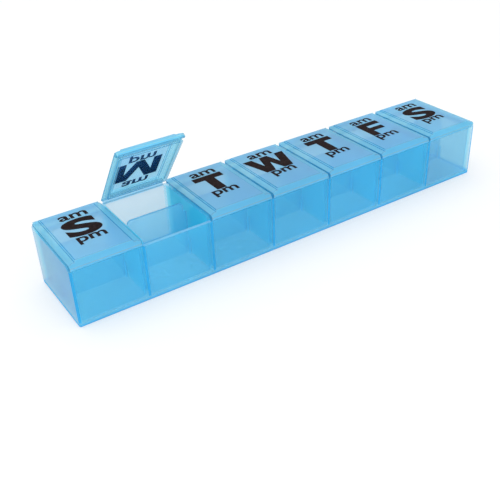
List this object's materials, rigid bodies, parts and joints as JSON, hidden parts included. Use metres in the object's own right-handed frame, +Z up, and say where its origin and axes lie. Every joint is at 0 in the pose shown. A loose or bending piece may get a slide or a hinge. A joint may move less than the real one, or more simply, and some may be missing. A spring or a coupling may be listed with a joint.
{
  "type": "weekly pill organizer",
  "caption": "Translucent blue weekly pill organizer: a long low tray of bays, a drop-in divider in each bay, and a flip-up lid for each day on a living hinge.",
  "frame": {"origin": "middle of the tray's flat underside, where it rests on the table", "axes": "+X along the row from the first day (Sunday) to the last, +Y from the front to the hinged rear, +Z up"},
  "size_m": [0.21, 0.0398, 0.0574],
  "materials": {
    "tray_plastic": "translucent blue polypropylene, satin gloss",
    "divider_plastic": "translucent blue polypropylene, satin gloss",
    "web_plastic": "translucent blue polypropylene, flexed thin",
    "lid_plastic": "translucent blue polypropylene with black printed legends, satin gloss"
  },
  "bodies": {
    "tray": {"tray_bay_sunday": "tray_plastic", "tray_bay_monday": "tray_plastic", "tray_bay_tuesday": "tray_plastic", "tray_bay_wednesday": "tray_plastic", "tray_bay_thursday": "tray_plastic", "tray_bay_friday": "tray_plastic", "tray_bay_saturday": "tray_plastic", "divider_sunday": "divider_plastic", "divider_monday": "divider_plastic", "divider_tuesday": "divider_plastic", "divider_wednesday": "divider_plastic", "divider_thursday": "divider_plastic", "divider_friday": "divider_plastic", "divider_saturday": "divider_plastic", "hinge_web_sunday": "web_plastic", "hinge_web_monday": "web_plastic", "hinge_web_tuesday": "web_plastic", "hinge_web_wednesday": "web_plastic", "hinge_web_thursday": "web_plastic", "hinge_web_friday": "web_plastic", "hinge_web_saturday": "web_plastic"},
    "lid_sunday": {"lid_sunday": "lid_plastic"},
    "lid_monday": {"lid_monday": "lid_plastic"},
    "lid_tuesday": {"lid_tuesday": "lid_plastic"},
    "lid_wednesday": {"lid_wednesday": "lid_plastic"},
    "lid_thursday": {"lid_thursday": "lid_plastic"},
    "lid_friday": {"lid_friday": "lid_plastic"},
    "lid_saturday": {"lid_saturday": "lid_plastic"}
  },
  "joints": [
    {"name": "lid_swing_sunday", "type": "hinge", "parent": "tray", "child": "lid_sunday", "pos_m": [-0.09, 0.0197, 0.02655], "axis": [-1, 0, 0], "range_deg": [0, 180], "deforming": ["hinge_web_sunday"]},
    {"name": "lid_swing_monday", "type": "hinge", "parent": "tray", "child": "lid_monday", "pos_m": [-0.06, 0.0197, 0.02655], "axis": [-1, 0, 0], "range_deg": [-53, 127], "deforming": ["hinge_web_monday"]},
    {"name": "lid_swing_tuesday", "type": "hinge", "parent": "tray", "child": "lid_tuesday", "pos_m": [-0.03, 0.0197, 0.02655], "axis": [-1, 0, 0], "range_deg": [0, 180], "deforming": ["hinge_web_tuesday"]},
    {"name": "lid_swing_wednesday", "type": "hinge", "parent": "tray", "child": "lid_wednesday", "pos_m": [0, 0.0197, 0.02655], "axis": [-1, 0, 0], "range_deg": [0, 180], "deforming": ["hinge_web_wednesday"]},
    {"name": "lid_swing_thursday", "type": "hinge", "parent": "tray", "child": "lid_thursday", "pos_m": [0.03, 0.0197, 0.02655], "axis": [-1, 0, 0], "range_deg": [0, 180], "deforming": ["hinge_web_thursday"]},
    {"name": "lid_swing_friday", "type": "hinge", "parent": "tray", "child": "lid_friday", "pos_m": [0.06, 0.0197, 0.02655], "axis": [-1, 0, 0], "range_deg": [0, 180], "deforming": ["hinge_web_friday"]},
    {"name": "lid_swing_saturday", "type": "hinge", "parent": "tray", "child": "lid_saturday", "pos_m": [0.09, 0.0197, 0.02655], "axis": [-1, 0, 0], "range_deg": [0, 180], "deforming": ["hinge_web_saturday"]}
  ]
}
